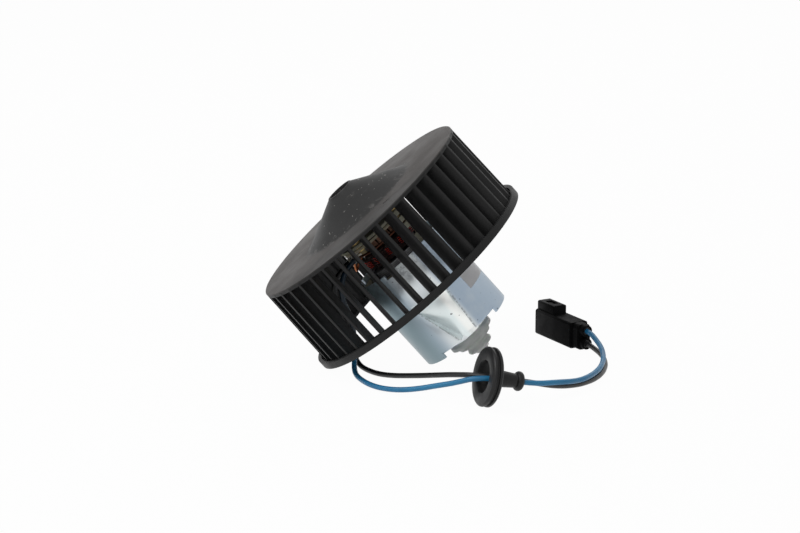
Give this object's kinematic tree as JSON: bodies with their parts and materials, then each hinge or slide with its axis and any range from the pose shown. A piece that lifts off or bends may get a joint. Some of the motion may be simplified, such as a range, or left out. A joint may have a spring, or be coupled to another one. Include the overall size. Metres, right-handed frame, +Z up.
{
  "type": "cabin blower motor",
  "caption": "Car cabin blower: a one-piece black drum fan on a small can motor, with two leads, a wall grommet and a plug.",
  "frame": {"origin": "middle of the footprint of the motor and fan on the table, which the fan's ring and the can's skirt rest on", "axes": "+Z up, -Y to the side where the leads lie, and the shaft in the XZ plane: the hub points up towards -X and the can's end cap down towards +X"},
  "size_m": [0.2083, 0.1894, 0.1448],
  "materials": {
    "fan_plastic": "matte grained moulding",
    "shaft_steel": "ground, slightly browned",
    "spring_steel": "plain",
    "lamination_steel": "oiled laminations",
    "winding_enamel": "red varnished copper wire",
    "card_phenolic": "plain phenolic",
    "copper": "bare copper",
    "white_nylon": "plain",
    "zinc_steel": "zinc plated, slightly blue",
    "ferrite": "plain sintered",
    "frame_plastic": "plain moulding",
    "bearing_bronze": "oiled sintered bronze",
    "rivet_brass": "plain",
    "carbon": "pressed carbon",
    "tinned_brass": "tinned",
    "cap_nylon": "translucent greenish white",
    "lead_black_pvc": "satin",
    "lead_blue_pvc": "satin",
    "grommet_rubber": "satin",
    "plug_plastic": "satin moulding"
  },
  "bodies": {
    "motor": {"motor_can": "zinc_steel", "magnet_right": "ferrite", "magnet_left": "ferrite", "magnet_clips": "spring_steel", "end_frame": "frame_plastic", "front_bearing": "bearing_bronze", "bearing_retainer": "spring_steel", "brush_card": "card_phenolic", "card_rivets": "rivet_brass", "brush_box_right": "rivet_brass", "brush_box_left": "rivet_brass", "brush_spring_right": "spring_steel", "brush_spring_left": "spring_steel", "brush_shunt_right": "copper", "brush_shunt_left": "copper", "terminal_black": "tinned_brass", "terminal_blue": "tinned_brass", "rear_bearing": "bearing_bronze", "rear_bearing_carrier": "white_nylon", "rear_bearing_clamp": "spring_steel", "rear_cap": "cap_nylon", "lead_black": "lead_black_pvc", "lead_blue": "lead_blue_pvc", "grommet": "grommet_rubber", "plug_housing": "plug_plastic", "plug_pins": "tinned_brass", "plug_seal_low": "grommet_rubber", "plug_seal_high": "grommet_rubber"},
    "rotor": {"fan_wheel": "fan_plastic", "shaft": "shaft_steel", "hub_clip": "spring_steel", "armature_stack": "lamination_steel", "armature_winding": "winding_enamel", "commutator_core": "card_phenolic", "commutator_bars": "copper", "front_thrust_washer": "white_nylon", "rear_thrust_washer": "white_nylon"},
    "brush_right": {"brush_right": "carbon"},
    "brush_left": {"brush_left": "carbon"}
  },
  "joints": [
    {"name": "rotor_spin", "type": "hinge", "parent": "motor", "child": "rotor", "pos_m": [-0.02056, 0, 0.0954], "axis": [-0.6629, 0, 0.7487], "continuous": true},
    {"name": "brush_right_slide", "type": "slide", "parent": "motor", "child": "brush_right", "axis": [0.7458, 0.0872, 0.6604], "range_m": [0, 0.0015], "stiffness_N_per_m": 500, "springref_m": -0.003, "deforming": ["brush_spring_right", "brush_shunt_right"]},
    {"name": "brush_left_slide", "type": "slide", "parent": "motor", "child": "brush_left", "axis": [-0.7458, -0.0872, -0.6604], "range_m": [0, 0.0015], "stiffness_N_per_m": 500, "springref_m": -0.003, "deforming": ["brush_spring_left", "brush_shunt_left"]}
  ]
}
